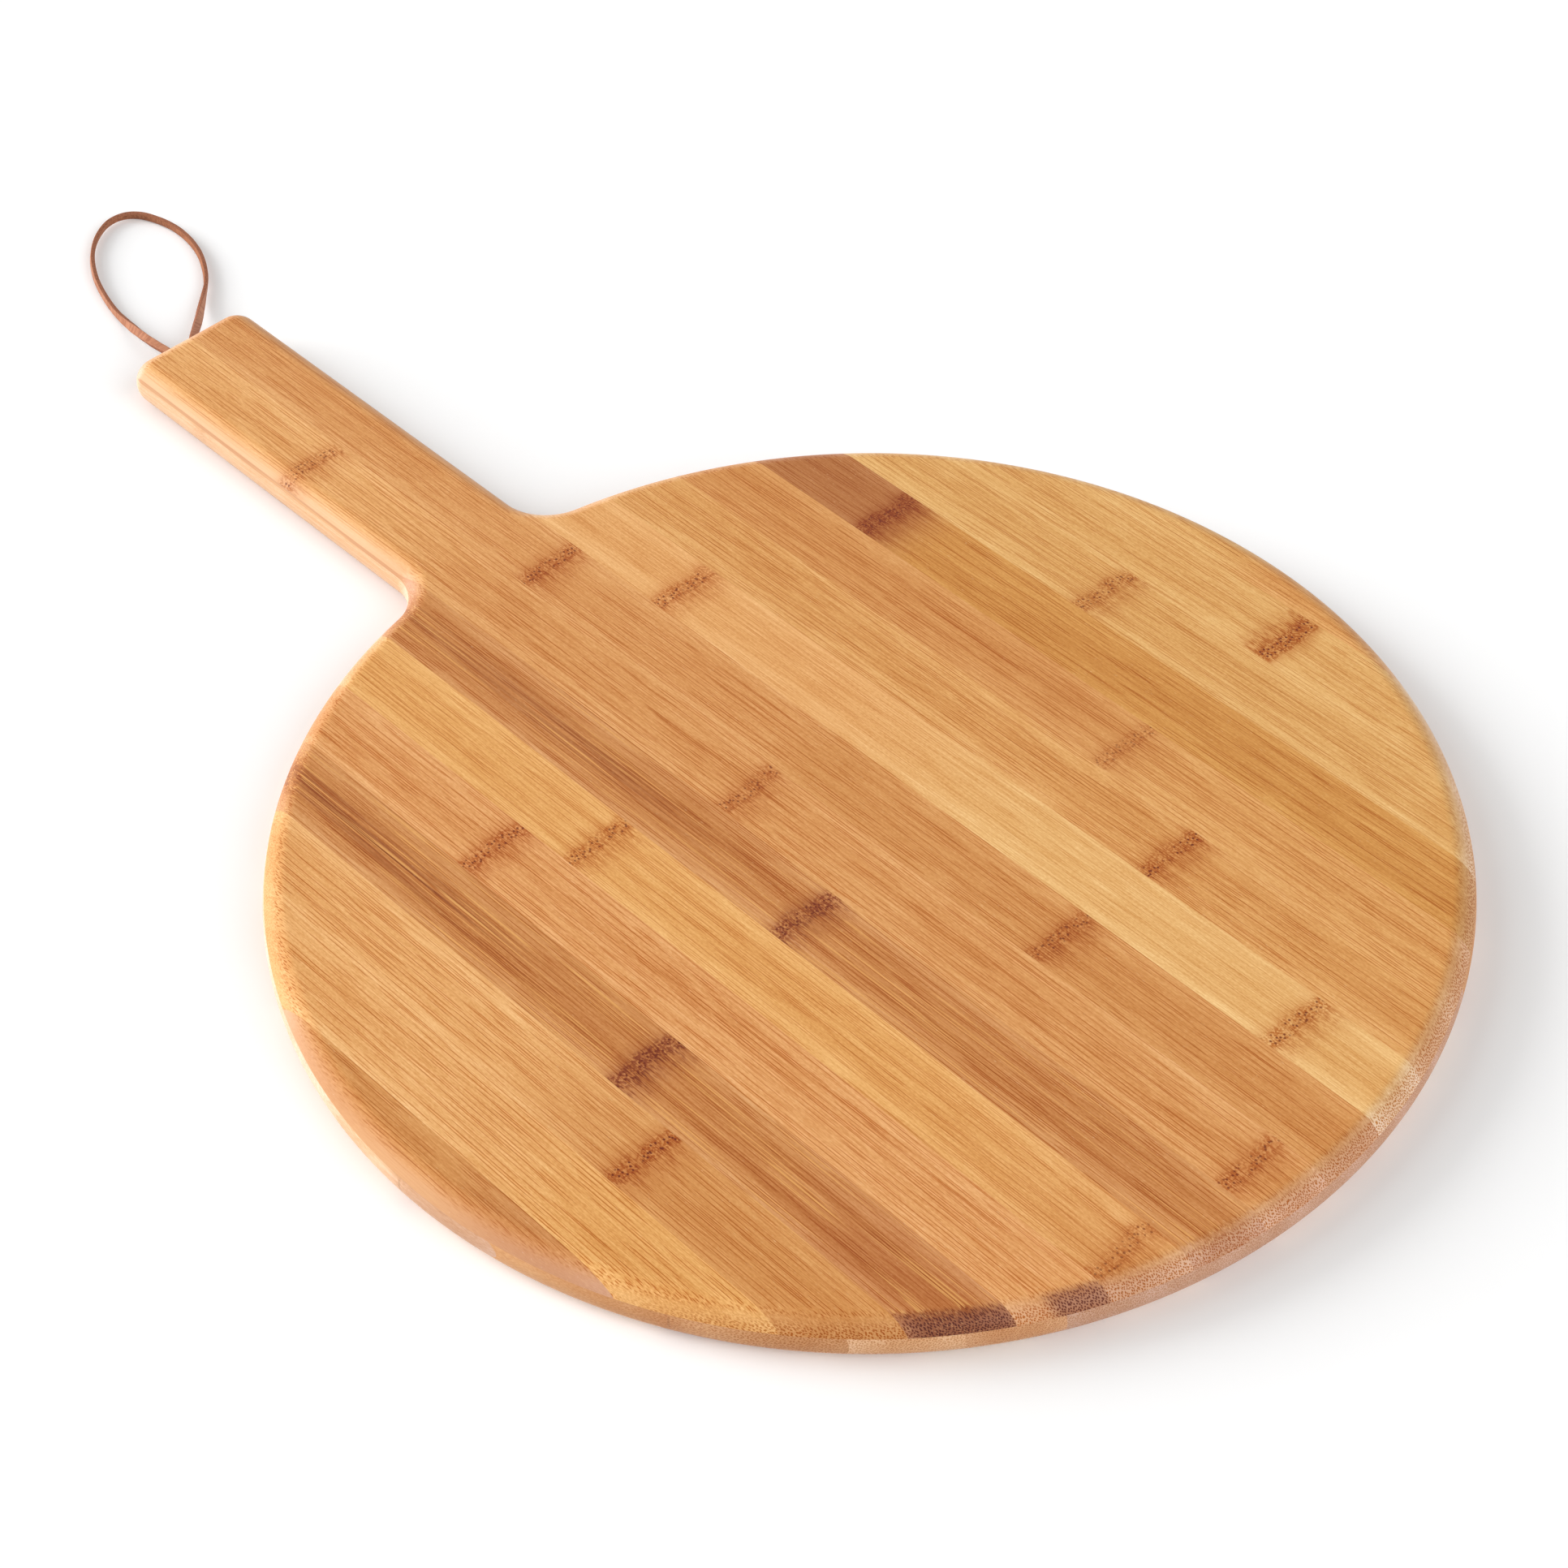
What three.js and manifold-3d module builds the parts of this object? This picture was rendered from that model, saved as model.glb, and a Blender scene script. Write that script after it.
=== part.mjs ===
// Round bamboo serving board with a straight handle and a leather hanging loop.
// Three plies of bamboo strips are glued into one panel, which is cut to shape and rounded all the way round.
// Millimetres, +Z up. The origin is the disc's centre on the underside, and the handle points along +Y.

import * as THREE from 'three';
import { mergeVertices } from 'three/addons/utils/BufferGeometryUtils.js';
import Module from 'manifold-3d';

const wasm = await Module();
wasm.setup();

// Outline of the board
const DISC_RADIUS = 175;
const HANDLE_WIDTH = 48;
const HANDLE_REACH = 328.5; // from the disc's centre to the handle's end
const NECK_RADIUS = 16; // hollow fillet between disc and handle
const END_CORNER_EXTRA = 0.6; // how much rounder the end's corners are than the edge

// Panel of strips
const OUTER_PLY = 4.5;
const CORE_PLY = 6;
const FULL_STRIPS = 14; // side by side in the top ply
const OUTERMOST_SHARE = 0.66; // how much of a full strip the round cut leaves at the disc's left and right
const GLUE_LINE = 0.1;
const NARROWEST_STRIP = 3; // a joint closer than this to the disc's side is left out
const EDGE_LAND = 0.2; // upright line left between the two rounded-over halves of the edge

// Leather lace
const LACE_WIDTH = 2.8;
const LACE_THICKNESS = 1.5;
const LACE_CHAMFER = 0.3;
const HOLE_SPACING = 10;
const HOLE_DEPTH = 20;
const HOLE_CLEARANCE = 0.3;
const SWING_CLEARANCE = 0.3; // between the loop's rounded ends and the handle's end
const TWIST_LENGTH = 44; // over which each leg turns from lying flat to standing on edge
const LOOP_LEAN = THREE.MathUtils.degToRad(22); // of the lace's upper edge towards the handle

// Fineness of the round surfaces
const DISC_STEPS = 110;
const NECK_STEPS = 8;
const CORNER_STEPS = 6;
const EDGE_STEPS = 6; // for each quarter round
const HOLE_SIDES = 24;
const LACE_STEPS = 64;
const LACE_END_SIDES = 12;

const STRIP_PITCH = (2 * DISC_RADIUS) / (FULL_STRIPS + 2 * OUTERMOST_SHARE);
const THICKNESS = 2 * OUTER_PLY + CORE_PLY;
const MID_HEIGHT = THICKNESS / 2;
const EDGE_RADIUS = (THICKNESS - EDGE_LAND) / 2;
const END_CORNER_RADIUS = EDGE_RADIUS + END_CORNER_EXTRA;
const HOLE_RADIUS = Math.hypot(LACE_WIDTH, LACE_THICKNESS) / 2 + HOLE_CLEARANCE;
const SWING_REACH = LACE_THICKNESS / 2 + SWING_CLEARANCE; // from the handle's end to the loop's bending line
const BEYOND = 10; // how far a cutting shape stands past what it cuts
const SIDES = { left: -1, right: 1 }; // the sign of each hole's place across the handle

// The loop's free run from the left hole to the right one: across, out from the handle's end, and height.
// It comes out level with the middle of the edge, droops to the table and lies there, leaning to the right.
const LOOP_ROUTE = [
  [-5, 4, 7.4],
  [-5, 10, 6.6],
  [-4.2, 19, 4.9],
  [-2.6, 29, 2.8],
  [-1, 39, 1.75],
  [1.8, 50, 1.6],
  [6, 61, 1.6],
  [12.4, 71.5, 1.6],
  [20, 79, 1.6],
  [27.7, 82.8, 1.6],
  [33.6, 82.3, 1.6],
  [37.9, 78.8, 1.6],
  [40.9, 72, 1.6],
  [42.4, 64, 1.6],
  [42, 55.2, 1.6],
  [39.8, 46.2, 1.6],
  [35.8, 37.7, 1.6],
  [31, 30.5, 1.75],
  [25.4, 24.4, 2.1],
  [20.4, 19, 3],
  [15.6, 13.6, 4.3],
  [11, 8.6, 5.8],
  [7.4, 4.8, 6.9],
  [5.4, 2.6, 7.4],
];

// Colour of each strip, from the disc's left side to its right side, as the board is seen from above
const TONES = { pale: 0xd8a55f, honey: 0xcd9450, caramel: 0xbd8248, brown: 0xa06a38 };
const TOP_TONES = [
  'caramel', 'honey', 'honey', 'brown', 'caramel', 'honey', 'brown', 'caramel',
  'caramel', 'pale', 'caramel', 'caramel', 'brown', 'honey', 'honey', 'pale',
];
const CORE_TONES = ['caramel', 'honey', 'caramel', 'honey', 'caramel', 'pale', 'pale', 'caramel'];
const BOTTOM_TONES = ['honey', 'caramel', 'honey', 'pale', 'caramel', 'honey', 'brown'];
const LEATHER = 0x8a5236;

// Turns a three.js geometry into a solid that can be joined and cut.
function solidOf(geometry) {
  geometry.deleteAttribute('normal');
  geometry.deleteAttribute('uv');
  const welded = mergeVertices(geometry);
  return new wasm.Manifold(new wasm.Mesh({
    numProp: 3,
    vertProperties: new Float32Array(welded.attributes.position.array),
    triVerts: new Uint32Array(welded.index.array),
  }));
}

// Turns a solid back into a three.js geometry.
function geometryOf(solid) {
  const mesh = solid.getMesh();
  const geometry = new THREE.BufferGeometry();
  geometry.setAttribute('position', new THREE.BufferAttribute(mesh.vertProperties, 3));
  geometry.setIndex(new THREE.BufferAttribute(mesh.triVerts, 1));
  geometry.computeVertexNormals();
  return geometry;
}

// A box given by its low and high corners.
function box(low, high) {
  const [width, length, height] = high.map((value, axis) => value - low[axis]);
  const geometry = new THREE.BoxGeometry(width, length, height);
  geometry.translate(...high.map((value, axis) => (value + low[axis]) / 2));
  return geometry;
}

// Points on an arc, both ends included.
function arc(centreX, centreY, radius, start, end, steps) {
  return Array.from({ length: steps + 1 }, (_, step) => {
    const angle = start + ((end - start) * step) / steps;
    return new THREE.Vector2(centreX + radius * Math.cos(angle), centreY + radius * Math.sin(angle));
  });
}

// The board's widest outline: the disc, the two hollow necks and the handle with its rounded corners.
function boardOutline() {
  const halfHandle = HANDLE_WIDTH / 2;
  const neckX = halfHandle + NECK_RADIUS;
  const neckY = Math.sqrt((DISC_RADIUS + NECK_RADIUS) ** 2 - neckX ** 2);
  const shoulder = Math.atan2(neckY, neckX);
  const cornerX = halfHandle - END_CORNER_RADIUS;
  const cornerY = HANDLE_REACH - END_CORNER_RADIUS;
  const quarter = Math.PI / 2;
  return [
    ...arc(0, 0, DISC_RADIUS, Math.PI - shoulder, 2 * Math.PI + shoulder, DISC_STEPS),
    ...arc(neckX, neckY, NECK_RADIUS, Math.PI + shoulder, Math.PI, NECK_STEPS).slice(1),
    ...arc(cornerX, cornerY, END_CORNER_RADIUS, 0, quarter, CORNER_STEPS),
    ...arc(-cornerX, cornerY, END_CORNER_RADIUS, quarter, 2 * quarter, CORNER_STEPS),
    ...arc(-neckX, neckY, NECK_RADIUS, 0, -shoulder, NECK_STEPS).slice(0, -1),
  ];
}

// The whole panel after shaping, with a half-round edge and the lace's two holes in the handle's end.
function shapedPanel() {
  const geometry = new THREE.ExtrudeGeometry(new THREE.Shape(boardOutline()), {
    depth: EDGE_LAND,
    bevelThickness: EDGE_RADIUS,
    bevelSize: EDGE_RADIUS,
    bevelOffset: -EDGE_RADIUS,
    bevelSegments: EDGE_STEPS,
  });
  geometry.translate(0, 0, EDGE_RADIUS);
  return Object.values(SIDES).reduce((panel, side) => panel.subtract(laceHole(side)), solidOf(geometry));
}

// A blind hole drilled straight into the handle's end.
function laceHole(side) {
  const length = HOLE_DEPTH + BEYOND;
  const geometry = new THREE.CylinderGeometry(HOLE_RADIUS, HOLE_RADIUS, length, HOLE_SIDES);
  geometry.translate((side * HOLE_SPACING) / 2, HANDLE_REACH - HOLE_DEPTH + length / 2, MID_HEIGHT);
  return solidOf(geometry);
}

// Where the joints between a ply's strips run, from left to right.
function stripJoints(shift) {
  const outermost = DISC_RADIUS - NARROWEST_STRIP;
  const first = Math.ceil((-outermost - shift) / STRIP_PITCH);
  const last = Math.floor((outermost - shift) / STRIP_PITCH);
  return Array.from({ length: last - first + 1 }, (_, i) => shift + (first + i) * STRIP_PITCH);
}

// Cuts one ply of the panel into its strips, with half a glue line taken off each glued face.
function stripsOf(panel, name, shift, bottom, top, tones) {
  const side = DISC_RADIUS + BEYOND;
  const limits = [-side, ...stripJoints(shift), side];
  const gap = GLUE_LINE / 2;
  return limits.slice(1).map((right, i) => {
    const slab = box([limits[i] + gap, -side, bottom + gap], [right - gap, HANDLE_REACH + BEYOND, top - gap]);
    const tone = TONES[tones[i % tones.length]];
    const number = String(i + 1).padStart(2, '0');
    const material = new THREE.MeshStandardMaterial({ color: tone, roughness: 0.45, metalness: 0 });
    const strip = new THREE.Mesh(geometryOf(panel.intersect(solidOf(slab))), material);
    strip.name = `${name}_${number}`;
    return strip;
  });
}

// The lace's route, whose frames keep it flat at both holes and on edge round the loop.
class LacePath extends THREE.CatmullRomCurve3 {
  computeFrenetFrames(segments) {
    const up = new THREE.Vector3(0, -Math.sin(LOOP_LEAN), Math.cos(LOOP_LEAN));
    const frames = { tangents: [], normals: [], binormals: [] };
    for (let i = 0; i <= segments; i += 1) {
      const along = i / segments;
      const tangent = this.getTangentAt(along);
      const sideways = new THREE.Vector3().crossVectors(tangent, up).normalize();
      const upright = new THREE.Vector3().crossVectors(sideways, tangent);
      const fromHole = Math.min(along, 1 - along) * this.getLength();
      const turn = (THREE.MathUtils.smoothstep(fromHole, 0, TWIST_LENGTH) * Math.PI) / 2;
      const broad = sideways.multiplyScalar(Math.cos(turn)).addScaledVector(upright, Math.sin(turn));
      frames.tangents.push(tangent);
      frames.normals.push(broad);
      frames.binormals.push(new THREE.Vector3().crossVectors(tangent, broad));
    }
    return frames;
  }
}

// The lace's cross-section, with its sharp corners taken off.
function laceSection() {
  const x = LACE_WIDTH / 2;
  const y = LACE_THICKNESS / 2;
  const cut = LACE_CHAMFER;
  return new THREE.Shape([
    [x, y - cut], [x - cut, y], [cut - x, y], [-x, y - cut],
    [-x, cut - y], [cut - x, -y], [x - cut, -y], [x, cut - y],
  ].map(([across, through]) => new THREE.Vector2(across, through)));
}

// The free loop, with rounded ends about the line on which it bends at the handle's end.
function leatherLoop() {
  const ends = Object.values(SIDES).map((side) => new THREE.Vector3(
    (side * HOLE_SPACING) / 2,
    HANDLE_REACH + SWING_REACH,
    MID_HEIGHT,
  ));
  const route = LOOP_ROUTE.map(([across, out, height]) => (
    new THREE.Vector3(across, HANDLE_REACH + out, height)
  ));
  const path = new LacePath([ends[0], ...route, ends[1]]);
  const lace = new THREE.ExtrudeGeometry(laceSection(), { steps: LACE_STEPS, extrudePath: path });
  const endRadius = (LACE_THICKNESS - LACE_CHAMFER) / 2;
  const endWidth = LACE_WIDTH - 2 * LACE_CHAMFER;
  return ends.reduce((loop, point) => {
    const round = new THREE.CylinderGeometry(endRadius, endRadius, endWidth, LACE_END_SIDES);
    round.rotateZ(Math.PI / 2);
    round.translate(point.x, point.y, point.z);
    return loop.add(solidOf(round));
  }, solidOf(lace));
}

// The lace's end that is glued into its hole.
function leatherEnd(side) {
  const middle = (side * HOLE_SPACING) / 2;
  const depth = HOLE_DEPTH - HOLE_CLEARANCE;
  return box(
    [middle - LACE_WIDTH / 2, HANDLE_REACH - depth, MID_HEIGHT - LACE_THICKNESS / 2],
    [middle + LACE_WIDTH / 2, HANDLE_REACH, MID_HEIGHT + LACE_THICKNESS / 2],
  );
}

function leatherMesh(name, geometry) {
  const material = new THREE.MeshStandardMaterial({ color: LEATHER, roughness: 0.7, metalness: 0 });
  const mesh = new THREE.Mesh(geometry, material);
  mesh.name = name;
  return mesh;
}

// The plies' joints are staggered: the core by half a strip, the bottom by a quarter.
const panel = shapedPanel();
const coreTop = OUTER_PLY + CORE_PLY;
const face = GLUE_LINE / 2; // the outer faces are glued to nothing, so they keep their full height
const board = new THREE.Group();
board.add(...stripsOf(panel, 'top_strip', 0, coreTop, THICKNESS + face, TOP_TONES));
board.add(...stripsOf(panel, 'core_strip', STRIP_PITCH / 2, OUTER_PLY, coreTop, CORE_TONES));
board.add(...stripsOf(panel, 'bottom_strip', STRIP_PITCH / 4, -face, OUTER_PLY, BOTTOM_TONES));
board.add(leatherMesh('leather_end_left', leatherEnd(SIDES.left)));
board.add(leatherMesh('leather_end_right', leatherEnd(SIDES.right)));
board.add(leatherMesh('leather_loop', geometryOf(leatherLoop())));

export default board;
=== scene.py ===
# Looks of the round bamboo serving board: finely rounded strips, bamboo and leather, stage and camera.
# The frame is in metres. Sizes below are in millimetres unless a name says otherwise.
import math
from dataclasses import dataclass

import bmesh
import bpy
from mathutils import Matrix, Vector


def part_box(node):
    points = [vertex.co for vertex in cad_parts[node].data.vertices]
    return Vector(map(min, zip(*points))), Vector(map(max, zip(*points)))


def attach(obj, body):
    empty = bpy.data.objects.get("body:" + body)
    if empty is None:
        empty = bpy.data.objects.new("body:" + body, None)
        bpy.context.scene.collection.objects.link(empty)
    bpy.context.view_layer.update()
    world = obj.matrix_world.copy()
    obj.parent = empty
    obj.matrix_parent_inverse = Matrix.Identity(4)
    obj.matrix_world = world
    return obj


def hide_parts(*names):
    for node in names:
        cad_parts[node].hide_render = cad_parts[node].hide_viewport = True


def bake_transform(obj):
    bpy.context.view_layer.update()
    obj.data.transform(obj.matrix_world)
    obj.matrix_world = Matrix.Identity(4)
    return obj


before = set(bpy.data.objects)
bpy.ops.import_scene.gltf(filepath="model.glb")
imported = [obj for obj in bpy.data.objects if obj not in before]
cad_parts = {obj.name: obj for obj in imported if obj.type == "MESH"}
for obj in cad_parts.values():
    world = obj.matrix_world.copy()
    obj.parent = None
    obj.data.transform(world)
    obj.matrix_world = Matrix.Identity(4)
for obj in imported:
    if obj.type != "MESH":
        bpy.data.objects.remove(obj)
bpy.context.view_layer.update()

MM = 0.001

# Board, as in the part's source
DISC_RADIUS = 175
HANDLE_WIDTH = 48
HANDLE_REACH = 328.5
NECK_RADIUS = 16
END_CORNER_RADIUS = 8
THICKNESS = 15
EDGE_RADIUS = 7.4

# Fineness of the board's rounded surfaces
DISC_STEPS = 330
NECK_STEPS = 20
CORNER_STEPS = 14
EDGE_STEPS = 16
SNAP = 0.002  # points this near a cut are moved onto it
SHARP_ANGLE = math.radians(35)
OUTERMOST_CUT = DISC_RADIUS - 0.5  # a strip whose side lies further out ends in the rounded edge
JOINT_CLOSING = 0.045  # each glued side is shown this much further out, so that no joint shows a gap

# Leather lace, as in the part's source
LACE_WIDTH = 2.8
LACE_THICKNESS = 1.5
LACE_ROUNDING = 0.35
CORNER_FACES = 4
GRAIN_SIDE, FLESH_SIDE, CUT_EDGE = range(3)  # the lace's materials, in their order
HOLE_SPACING = 10
HOLE_DEPTH = 20
HOLE_RADIUS = 1.888
HOLE_SIDES = 40
LACE_END_GAP = 0.3  # between the lace's end and the hole's bottom
SWING_REACH = 1.05  # from the handle's end to the line on which the loop bends
TWIST_LENGTH = 44
LOOP_LEAN = math.radians(22)  # of the lace's upper edge towards the handle
LACE_STEP = 0.8
MOUTH_DEPTH = 1  # of the lace's last point in its hole
LACE_WAVER = [(0.02, 0.31, 0), (0.015, 0.83, 1)]  # of its width: size, pace and start of each wave
MID_HEIGHT = THICKNESS / 2

# The loop's free run: across, out from the handle's end, and height
LOOP_ROUTE = [
    (-5, 4, 7.4), (-5, 10, 6.6), (-4.2, 19, 4.9), (-2.6, 29, 2.8), (-1, 39, 1.75), (1.8, 50, 1.6),
    (6, 61, 1.6), (12.4, 71.5, 1.6), (20, 79, 1.6), (27.7, 82.8, 1.6), (33.6, 82.3, 1.6),
    (37.9, 78.8, 1.6), (40.9, 72, 1.6), (42.4, 64, 1.6), (42, 55.2, 1.6), (39.8, 46.2, 1.6),
    (35.8, 37.7, 1.6), (31, 30.5, 1.75), (25.4, 24.4, 2.1), (20.4, 19, 3), (15.6, 13.6, 4.3),
    (11, 8.6, 5.8), (7.4, 4.8, 6.9), (5.4, 2.6, 7.4),
]

# Camera, which stands where the photographer's stood
CAMERA_AZIMUTH = math.radians(-42.317)
CAMERA_ELEVATION = math.radians(45.452)
CAMERA_ROLL = math.radians(-1.617)
CAMERA_DISTANCE = 1094.402
CAMERA_TARGET = Vector((7.342, 43.022, 0))
CAMERA_LENS = 84.062
CAMERA_SENSOR = 36


@dataclass
class Strip:
    """How one strip looks. Places are along the board, from its disc's centre towards the handle."""
    back: str  # tone towards the handle
    front: str  # tone towards the front
    turn: tuple = (12, -12)  # where the one tone begins to change and where the other is reached
    knuckles: tuple = ()  # place and strength of each, below 0 where the shaded side is towards the handle
    plum: bool = False  # whether they are purplish
    streaks: float = 0.88  # how dark the fibre bundles are along their length
    dots: float = 1.0  # how dark they are where they are cut across
    bands: float = 0.08  # how far its broad bands are lighter and darker
    edges: float = 0.05  # how much lighter it is along its two joints
    glints: float = 0.1  # how strong the pale fibre lines are
    vein: tuple = ()  # a dark vein: its start and end across the board, where it fades out, and its strength
    stain: tuple = ()  # from where to where across the board its front end is stained dark
    inside: float = 1.0  # how far it gets paler and pinker below its outer face and on its end grain: partly its own paler wood, partly a painted sheen


# Bamboo tones
TONES = {
    "cream": 0xEEC08C,
    "beige": 0xD09C6E,
    "pale": 0xE6B26F,
    "honey": 0xE6AB6B,
    "golden": 0xE4A862,
    "straw": 0xDEA965,
    "rosy": 0xDF9F62,
    "tan": 0xDA9E5C,
    "caramel": 0xD99A5C,
    "toffee": 0xD19152,
    "ochre": 0xCE9049,
    "brown": 0xCA894F,
    "chestnut": 0xBF7B46,
    "umber": 0xB57542,
}

# The top ply from the disc's left side to its right side
TOP_STRIPS = [
    Strip("toffee", "brown", (0, -40)),
    Strip("honey", "golden", (0, -60), inside=0.1),
    Strip("honey", "toffee", (20, -60), ((-43, 1.2),), inside=0.1),
    Strip(
        "brown", "chestnut", (-60, -110), ((-18, 1.3),), True, bands=0.16, edges=0.13, glints=0.6,
        vein=(-107, -99, 15, 0.8), stain=(-114, -91), inside=0.4,
    ),
    Strip("rosy", "rosy", knuckles=((73, 1.0),), stain=(-82, -68), inside=0.4),
    Strip("golden", "caramel", (-60, -200), ((53, 0.9), (-153, 0.7)), streaks=0.7),
    Strip(
        "brown", "brown", knuckles=((-10, 1.1),), plum=True, streaks=1.0, bands=0.16, edges=0.1, glints=0.5,
        vein=(-38, -30, 10, 0.5),
    ),
    Strip("honey", "caramel", (215, 150), ((244, 0.8), (38, 0.8), (-157, 0.9))),
    Strip("caramel", "toffee", (55, 25), ((153, 1.0), (-66, 0.9))),
    Strip("honey", "pale", (60, -40), ((116, 1.0), (-133, 1.0)), streaks=0.3),
    Strip("tan", "tan", knuckles=((-66, 1.1),)),
    Strip("toffee", "tan", (-5, -50), ((-27, 0.6),)),
    Strip("umber", "ochre", (98, 72), ((96, 1.6),), bands=0.12),
    Strip("straw", "straw", knuckles=((24, 0.9),), streaks=0.7),
    Strip("straw", "straw", knuckles=((-31, -1.6),), streaks=0.7),
    Strip("straw", "tan"),
]
CORE_TONES = ["beige", "toffee", "toffee", "honey", "caramel", *["beige"] * 6]
BOTTOM_TONES = ["honey", "caramel", "honey", "pale", "caramel", "honey", "brown"]
# The core's cream half towards the handle is partly its own paler wood, partly painted light on the brightly
# lit sides of the handle
CORE_LOOKS = {"back": "cream", "knuckles": 0.25, "streaks": 0.35, "dots": 0.6, "inside": 0.5}
HOLED_STRIP = "core_strip_09"  # in which the lace's holes are
KNUCKLE_SPACING = 218  # along a strip of the two plies whose knuckles are not known
KNUCKLE_COUNT = 3  # on each of those strips
GOLDEN_SHARE = 0.618  # sets each strip's knuckles aside from its neighbours'

# Where each ply's grain begins, and how far it is shifted from one strip to the next
TOP_SEED = 1
CORE_SEED = 21.5
BOTTOM_SEED = 41.7
SEED_SHIFT = Vector((0, 173, 29.3))

# Grain, as sizes across, along and through the board
FINE_FIBRES = (0.3, 13, 0.3)
PORES = (0.35, 1.2, 0.35)
PALE_FIBRES = (0.36, 45, 0.36)
BANDS = (2.6, 130, 5)
CLOUDS = (15, 75, 20)
SPECKS = (0.2, 1.6, 0.2)
VEIN_LINES = (0.9, 90, 2)
VEIN_FADE = 60
VEIN_BLUR = 2.5
KNUCKLE_GRIT = (0.65, 0.85, 0.65)
KNUCKLE_TEETH = (0.42, 3.4, 0.42)
KNUCKLE_HOLES = (1.6, 2.0, 1.6)
KNUCKLE_PATCHES = (3.5, 5, 5)
KNUCKLE_WAVES = (9, 400, 40)

# Fibre bundles stand in slanting rows, and each comes up to the surface and goes down again along its length
BUNDLE_SPACING = 0.6
CORE_BUNDLE_SPACING = 0.55
BUNDLE_ROWS = math.radians(30)
BUNDLE_WANDER = (3, 56, 3)
BUNDLE_DEPTH = 1.2
BUNDLE_DISORDER = 0.6
BUNDLE_REACH = (0.3, 0.4)  # from a bundle's middle to its edge, along the wood and in its end grain
BUNDLE_BLUR = 0.14
SPARSE_SHARE = 0.7  # how dark the bundles are in the bands that have few of them

# Where end grain begins and is full, as the share of a face's direction that lies along the board
END_GRAIN = (0.05, 0.4)
DOTS = (0.25, 0.6)
FRONT_FACING = (0.2, -0.2)
LINES_END = (1.0, 0.4)  # shares of end grain at which the lines along the wood are gone and are whole
DOTS_BEHIND = 0.45  # how dark the dots are on faces towards the handle

# Depth below the outer face at which the wood begins to get paler and has done so, and the marks left there;
# the paleness is partly the wood's own, partly a painted sheen on the rounded edges
PALENESS_AND_SHEEN_DEPTH = (-0.4, 2.8)
MARKS_INSIDE = 0.1

# How much lighter and darker the marks in the ground are, and from where to where a noise shows as a mark
CLOUD_LIGHT = 0.1
FIBRE_LIGHT = 0.35
PORE_LIGHT = 0.2
JOINT_LIGHT_FROM = 0.3  # of a strip's half width
VEIN_THREADS = (0.4, 0.62)
CROWDED_BANDS = (0.65, 0.35)
PALE_FIBRE_MARKS = (0.64, 0.72)
SPECK_MARKS = (0.8, 0.86)
SPECK_STRENGTH = 0.3

# A stained end
STAIN_FROM = (-110, -125)
STAIN_BLUR = 2.5
STAIN_GROUND = 0.8

# A knuckle. Places are measured from its middle, below 0 towards the front
KNUCKLE_WANDER = 2.4
KNUCKLE_SHADOW_FRONT = (-15, 0)
KNUCKLE_SHADOW_BACK = (9, 1)
KNUCKLE_SHADOW_STRENGTH = 0.5
KNUCKLE_PATCH_MARKS = (0.35, 0.65)
KNUCKLE_PATCH_LEAST = 0.65
KNUCKLE_GRIT_MARKS = (0.42, 0.56)
KNUCKLE_BAND = (-3.2, 3.2, 1.6)  # from where to where, and its blur
KNUCKLE_TEETH_MARKS = (0.5, 0.3)
KNUCKLE_TEETH_FRONT = (-12, -3)
KNUCKLE_TEETH_BACK = (0, -2)
KNUCKLE_TEETH_STRENGTH = 0.8
KNUCKLE_HOLE_MARKS = (0.26, 0.14)
KNUCKLE_HOLE_PATCHES = (0.36, 0.46)
KNUCKLE_HOLE_ROW = (-2.2, 2, 0.5)
KNUCKLE_HOLE_STRENGTH = 0.9

# Finish
BAMBOO_ROUGHNESS = (0.46, 0.56)  # between the bundles and on them
BAMBOO_SPECULAR = 0.3
BAMBOO_RELIEF = 0.002

# Leather's grain
LEATHER_FIBRES = (3, 0.6, 1)  # their size as shares of the grain's
MOTTLE_SHARE = 0.7
MOTTLE_MARKS = (0.36, 0.64)
LEATHER_ROUGHNESS_SWING = 0.12

# Floor
FLOOR_SIZE_M = 30
FLOOR_DROP = 0.1
FLOOR_LIT = (0.8, 0.8, 0.8, 1)  # as it lights the board
FLOOR_SEEN = (0.97, 0.97, 0.97, 1)
FLOOR_GLOW = 0.08
FLOOR_ROUGHNESS = 0.9
WHITE = (1, 1, 1, 1)

# What a tone's red, green and blue are multiplied by where something darkens or lightens it
BUNDLE_SHADE = (0.62, 0.3, 0.04)
KNUCKLE_SHADE = (0.7, 0.45, 0.26)
PLUM_SHADE = (0.55, 0.34, 0.3)
VEIN_SHADE = (0.55, 0.38, 0.36)
# Paler and pinker wood below the outer face: partly the wood's own, partly a painted sheen
PALENESS_AND_SHEEN_SHADE = (0.98, 1.1, 1.62)
# Paler, pinker end grain: partly the wood's own, partly painted light and sheen on the rims
END_GRAIN_PALENESS_AND_SHEEN = (1.1, 1.22, 1.6)
STAIN_SHADE = (0.5, 0.36, 0.38)
SHADE_POWERS = (0.8, 1.5, 2.5)  # how much red, green and blue follow a change of light

# Marks with a colour of their own
PALE_FIBRE_COLOUR = 0xECB268
SPECK_COLOUR = 0xF4D6A2
KNUCKLE_COLOUR = 0x6C280C


def colour(code):
    """A colour as the shader takes it, from its usual hexadecimal code."""
    shares = [(code >> shift & 255) / 255 for shift in (16, 8, 0)]
    return *[s / 12.92 if s <= 0.04045 else ((s + 0.055) / 1.055) ** 2.4 for s in shares], 1.0


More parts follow.
